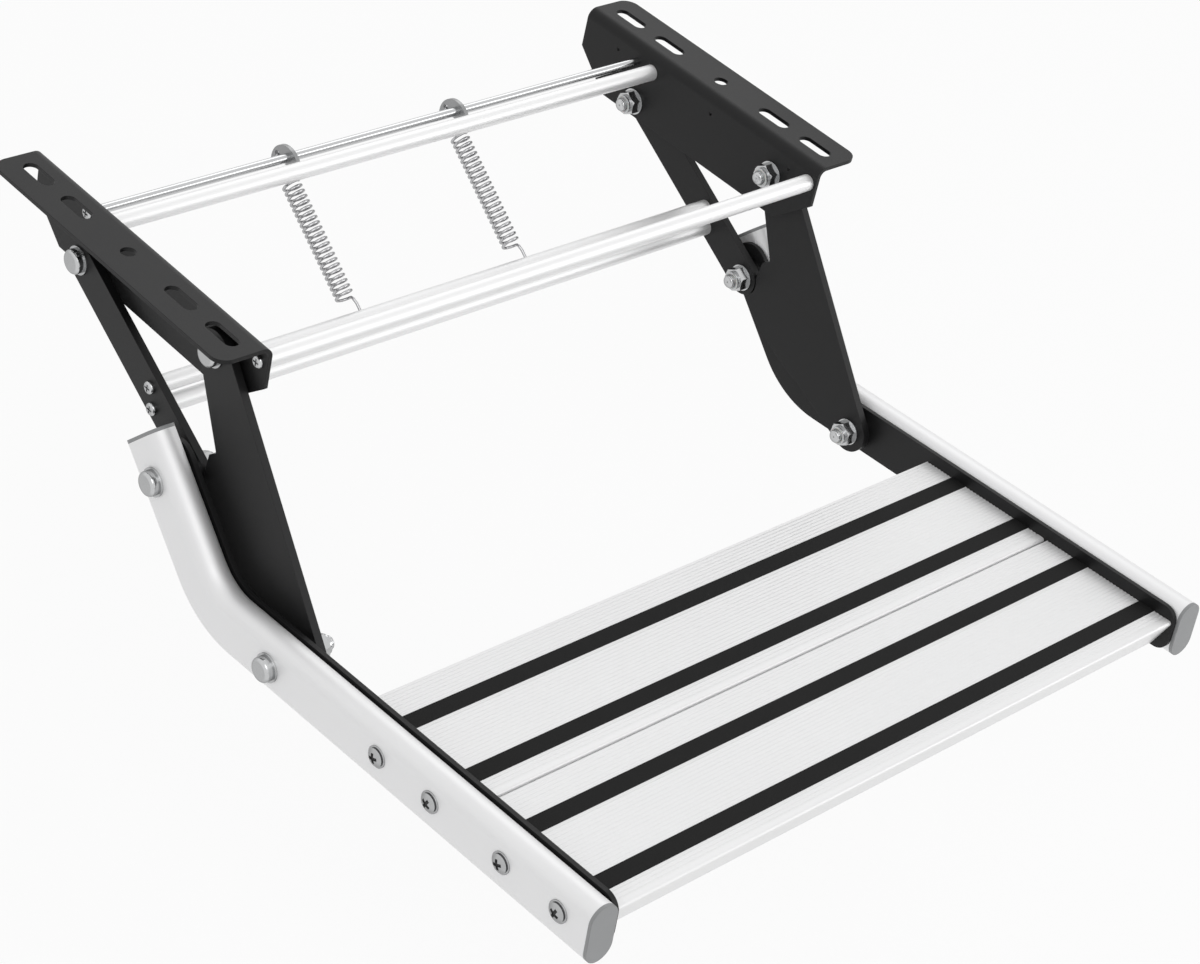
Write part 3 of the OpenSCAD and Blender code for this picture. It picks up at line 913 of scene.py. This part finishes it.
class STEP_OT_springs(bpy.types.Operator):
    """Smooth wound tension springs at one fixed length; on the real step they shorten as it folds
    """

    bl_idname = "entry_step.springs"
    bl_label = "Springs"

    def execute(self, context):
        m = finish(
            "spring_wire",
            colours().wire,
            drift=0.15,
            patch=120.0,
            rough=0.22,
            spread=0.10,
            metal=1.0,
            grain=(1500.0, EVEN, 2.0),
            bump=0.06,
            # rim: the wire's colour darkens where it turns away, a painted dark reflection
            rim=0.45,
        )
        s = sizes()
        run = Vector((0, UPPER_BAR.y - HANGER_HOLE.y, UPPER_BAR.z - HANGER_HOLE.z))
        turn = Vector((0, 0, 1)).rotation_difference(run).to_matrix().to_4x4()
        wire_r = s.wire_d / 2
        points = self.wire_path(run.length, (s.coil_d - s.wire_d) / 2, wire_r, s.coils)
        for node, x in SPRING_X.items():
            place = Matrix.Translation((x, HANGER_HOLE.y, HANGER_HOLE.z)) @ turn
            bm = bmesh.new()
            sweep(bm, [place @ p for p in points], wire_r, sides=10)
            obj = to_object(bm, node.replace("spring", "spring_coil"))
            dress(m, obj)
            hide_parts(node)
            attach(obj, "springs")
            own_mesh(obj)
        return {"FINISHED"}

    def wire_path(self, length, coil_r, wire_r, coils):
        """Centre line of a spring along its own Z, from the hanger's eye to behind the link bar."""
        # The hook's radius, how far it is pulled off the eye's middle, and its free end
        hook_r, hook_z, hook_end = 3.6 * MM, 0.75 * MM, 4 * MM
        # Where the coils start and stop, how far they stand aside, and the turns at their ends
        start, stop = 24 * MM, length - 18 * MM
        coil_x, turn_r, turn_gap = -2.2 * MM, 3.0 * MM, 2 * MM
        # The straight end through the bar, its bend, and the bent end's length and its clearance
        # behind the bar
        tail_x, bend_r, bent, clear = 5.0 * MM, 2.0 * MM, 9 * MM, 0.3 * MM
        tail_z = length + BAR_R + wire_r + clear
        hook_steps, turn_steps, coil_steps = 16, 6, 28 * coils

        def quarter(k):
            t = math.pi / 2 * k / turn_steps
            return 1 - math.cos(t), 1 - math.sin(t)

        def turned(k, side, z):
            across, along = quarter(k)
            y = turn_r * across
            x = coil_x + math.sqrt(coil_r**2 - y * y)
            return Vector((x, -side * y, z + side * turn_r * along))

        points = [Vector((-hook_r, 0, hook_z + hook_r + hook_end))]
        for k in range(hook_steps + 1):
            t = math.pi * (1 - k / hook_steps)
            points.append(Vector((hook_r * math.cos(t), 0, hook_z + hook_r * (1 - math.sin(t)))))
        points.append(Vector((hook_r, 0, start - 2 * turn_r - turn_gap)))
        points += [turned(k, -1, start) for k in range(turn_steps)]
        lead = math.asin(turn_r / coil_r)
        for i in range(coil_steps + 1):
            a = lead + i * (2 * math.pi * coils - 2 * lead) / coil_steps
            z = start + (stop - start) * i / coil_steps
            points.append(Vector((coil_x + coil_r * math.cos(a), coil_r * math.sin(a), z)))
        points += [turned(k, 1, stop) for k in reversed(range(turn_steps))]
        points.append(Vector((tail_x, 0, stop + 2 * turn_r)))
        for k in range(turn_steps + 1):
            across, along = quarter(k)
            points.append(Vector((tail_x - bend_r * across, 0, tail_z - bend_r * along)))
        points.append(Vector((tail_x - bent, 0, tail_z)))
        return points


class STEP_OT_threads(bpy.types.Operator):
    """Threads on the ends of the pivot bolts and nylon rings in the nuts"""

    bl_idname = "entry_step.threads"
    bl_label = "Threads And Nut Rings"

    def execute(self, context):
        zinc = bpy.data.materials["zinc_plate"]
        nylon = finish(
            "nut_nylon",
            colours().nylon,
            drift=0.15,
            patch=50.0,
            rough=0.45,
            spread=0.1,
            metal=0.0,
            grain=(1500.0, EVEN, 2.0),
            bump=0.15,
            Subsurface_Weight=0.1,
            Subsurface_Scale=0.001,
        )
        ends = {
            "frame": ("bracket_bolts", "bracket_nuts", (REAR_PIVOT, FRONT_PIVOT)),
            "front_links": ("front_pivot_studs", "front_pivot_nuts", (LOW_PIVOT,)),
            "treads": ("rear_pivot_bolts", "rear_pivot_nuts", (TOP_PIVOT,)),
        }
        for body, (bolts, nuts, pivots) in ends.items():
            thread, ring = bmesh.new(), bmesh.new()
            for p in pivots:
                place = Matrix.Translation((0, p.y, p.z))
                for side in (-1, 1):
                    tip_x, nut_x = self.inner_face(bolts, side), self.inner_face(nuts, side)
                    self.bolt_end(thread, side, tip_x, nut_x, place)
                    self.nut_ring(ring, side, nut_x, place)
            for bm, name, m in ((thread, "threads", zinc), (ring, "nut_rings", nylon)):
                obj = to_object(bm, body + "_" + name)
                dress(m, obj)
                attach(obj, body)
        return {"FINISHED"}

    def inner_face(self, node, side):
        """The x of a group's face nearest the middle of the step on one side."""
        xs = [v.co.x for v in frame["nodes"][node].data.vertices if v.co.x * side > 0]
        return side * min(abs(x) for x in xs)

    def bolt_end(self, bm, side, tip_x, nut_x, place):
        """A thread from the tip to the nut, and a rounded end that stands out from the tip."""
        # The thread's radii, and its distances from the tip and the nut
        core, crest, from_tip, from_nut = 4.98 * MM, 5.3 * MM, 0.5 * MM, 0.2 * MM
        x0, x1 = sorted((tip_x + side * from_tip, nut_x - side * from_nut))
        helix(bm, x0, x1, place, core, crest, sizes().thread_pitch)
        # The end's radius, its rise, the share of the radius that stays flat, and how far it sinks
        # into the bolt
        r, rise, flat, sunk, arc_steps = 4.9 * MM, 1.5 * MM, 0.35, 0.3 * MM, 6
        profile = [(tip_x + side * sunk, r)]
        for k in range(arc_steps + 1):
            t = math.pi / 2 * k / arc_steps
            drawn_in = r * (flat + (1 - flat) * math.cos(t))
            profile.append((tip_x - side * rise * math.sin(t), drawn_in))
        profile += [(tip_x - side * rise, AXIS_R), (tip_x, AXIS_R)]
        lathe(bm, profile, sides=40, place=place)

    def nut_ring(self, bm, side, nut_x, place):
        """A locking ring that stands a little proud of the nut."""
        bore, bevel, outer = 5.2 * MM, 6.3 * MM, 6.6 * MM
        proud, length = 0.35 * MM, 0.9 * MM
        profile = [(0, bore), (0, bevel), (proud, outer), (length, outer), (length, bore)]
        shape = [(nut_x + side * (x - proud), r) for x, r in profile]
        lathe(bm, shape, sides=40, place=place)


# The studio, in metres and watts: half the floor's width, its grey under the lamps and its share
# of plain white, the sky's strength on the step, each lamp's place, width and power, and the
# point that all lamps face
FLOOR_HALF, FLOOR_GREY, FLOOR_WHITE = 9, 0.86, 0.9
SKY = 0.62
LAMPS = {
    "key": ((-1.6, -2.0, 2.6), 2.4, 22),
    "fill": ((2.1, -2.5, 0.9), 1.8, 18),
    "back": ((1.8, 1.7, 2.0), 1.8, 9),
}
LAMPS_AIM = Vector((0, -0.2, -0.1))

# The photograph's viewpoint: its place in metres and its three axes
EYE = Vector((-1.3323529, -1.3172403, 1.0933225))
EYE_RIGHT = Vector((0.7269857, -0.6597104, 0.1904573))
EYE_DOWN = Vector((-0.2854146, -0.5425970, -0.7900171))
EYE_AHEAD = Vector((0.6245240, 0.5199718, -0.5827513))


class STEP_OT_stage(bpy.types.Operator):
    """Pale floor, soft lamps, even sky and the camera"""

    bl_idname = "entry_step.stage"
    bl_label = "Stage"

    def execute(self, context):
        scene = context.scene
        scene.view_settings.view_transform = "Standard"
        bm = bmesh.new()
        bmesh.ops.create_grid(bm, x_segments=8, y_segments=8, size=FLOOR_HALF)
        floor = to_object(bm, "studio_floor", smooth=False)
        floor.location = (0, 0, CAD_BOX[0][2] - sizes().floor_drop)
        floor.data.materials.append(self.backdrop())
        self.sky(scene)
        for name, (at, size, watts) in LAMPS.items():
            self.lamp(scene, "lamp_" + name, at, size, watts)
        self.camera(scene)
        return {"FINISHED"}

    def shown(self, tree):
        """1 for rays from the camera, from a reflection or through glass."""
        path = put(tree, "ShaderNodeLightPath", -300, 300)
        seen = put(tree, "ShaderNodeMath", -60, 300, operation="MAXIMUM")
        both = put(tree, "ShaderNodeMath", 120, 300, operation="MAXIMUM")
        tree.links.new(path.outputs["Is Camera Ray"], seen.inputs[0])
        tree.links.new(path.outputs["Is Glossy Ray"], seen.inputs[1])
        tree.links.new(seen.outputs[0], both.inputs[0])
        tree.links.new(path.outputs["Is Transmission Ray"], both.inputs[1])
        return both

    def backdrop(self):
        """Diffuse floor that is mostly plain white to the camera and in reflections."""
        m = bpy.data.materials.new("studio_floor")
        m.use_nodes = True
        tree = m.node_tree
        tree.nodes.clear()
        out = put(tree, "ShaderNodeOutputMaterial", 700, 0)
        matt = put(tree, "ShaderNodeBsdfDiffuse", 0, 100)
        matt.inputs["Color"].default_value = (FLOOR_GREY, FLOOR_GREY, FLOOR_GREY, 1)
        glow = put(tree, "ShaderNodeEmission", 0, -100)
        glow.inputs["Color"].default_value = (*colours().backdrop, 1)
        share = put(tree, "ShaderNodeMath", 280, 300, operation="MULTIPLY")
        share.inputs[1].default_value = FLOOR_WHITE
        tree.links.new(self.shown(tree).outputs[0], share.inputs[0])
        mix = put(tree, "ShaderNodeMixShader", 450, 0)
        tree.links.new(share.outputs[0], mix.inputs["Fac"])
        tree.links.new(matt.outputs[0], mix.inputs[1])
        tree.links.new(glow.outputs[0], mix.inputs[2])
        tree.links.new(mix.outputs[0], out.inputs[0])
        return m

    def sky(self, scene):
        """Even sky that lights the step softly and is white to the camera and in reflections."""
        world = bpy.data.worlds.new("studio_sky")
        scene.world = world
        world.use_nodes = True
        tree = world.node_tree
        tree.nodes.clear()
        out = put(tree, "ShaderNodeOutputWorld", 500, 0)
        dim = put(tree, "ShaderNodeBackground", 0, 100, Strength=SKY)
        white = put(tree, "ShaderNodeBackground", 0, -100, Strength=1.0)
        for n in (dim, white):
            n.inputs["Color"].default_value = (1, 1, 1, 1)
        mix = put(tree, "ShaderNodeMixShader", 250, 0)
        tree.links.new(self.shown(tree).outputs[0], mix.inputs["Fac"])
        tree.links.new(dim.outputs[0], mix.inputs[1])
        tree.links.new(white.outputs[0], mix.inputs[2])
        tree.links.new(mix.outputs[0], out.inputs[0])

    def lamp(self, scene, name, at, size, watts):
        """A round soft lamp aimed at the step."""
        data = bpy.data.lights.new(name, "AREA")
        data.shape = "DISK"
        data.size = size
        data.energy = watts
        obj = bpy.data.objects.new(name, data)
        obj.location = at
        obj.rotation_euler = (LAMPS_AIM - Vector(at)).to_track_quat("-Z", "Y").to_euler()
        scene.collection.objects.link(obj)

    def camera(self, scene):
        """A camera at the photograph's viewpoint, with its lens."""
        data = bpy.data.cameras.new("photo_camera")
        data.sensor_fit = "HORIZONTAL"
        data.sensor_width = 36
        data.lens = sizes().lens
        data.clip_end = 60
        obj = bpy.data.objects.new("photo_camera", data)
        turn = Matrix((EYE_RIGHT, -EYE_DOWN, -EYE_AHEAD)).transposed().to_4x4()
        obj.matrix_world = Matrix.Translation(EYE) @ turn
        scene.collection.objects.link(obj)
        scene.camera = obj


class STEP_PT_panel(bpy.types.Panel):
    """The step's pieces and sizes"""

    bl_idname = "STEP_PT_panel"
    bl_label = "Entry Step"
    bl_space_type = "VIEW_3D"
    bl_region_type = "UI"
    bl_category = "Entry Step"

    def draw(self, context):
        layout = self.layout
        for cls in OPERATORS:
            layout.operator(cls.bl_idname)
        for settings in (context.scene.step_sizes, context.scene.step_colours):
            box = layout.box()
            for key in settings.__annotations__:
                box.prop(settings, key)


OPERATORS = (
    STEP_OT_coated_parts,
    STEP_OT_tread_arms,
    STEP_OT_planks,
    STEP_OT_cross_bars,
    STEP_OT_fasteners,
    STEP_OT_tread_screws,
    STEP_OT_grip_strips,
    STEP_OT_caps,
    STEP_OT_springs,
    STEP_OT_threads,
    STEP_OT_stage,
)
CLASSES = (StepSizes, StepColours, *OPERATORS, STEP_PT_panel)


def register():
    for cls in CLASSES:
        bpy.utils.register_class(cls)
    bpy.types.Scene.step_sizes = PointerProperty(type=StepSizes)
    bpy.types.Scene.step_colours = PointerProperty(type=StepColours)


def unregister():
    del bpy.types.Scene.step_colours
    del bpy.types.Scene.step_sizes
    for cls in reversed(CLASSES):
        bpy.utils.unregister_class(cls)


def main():
    register()
    for cls in OPERATORS:
        area, name = cls.bl_idname.split(".")
        getattr(getattr(bpy.ops, area), name)()


if __name__ == "__main__":
    main()
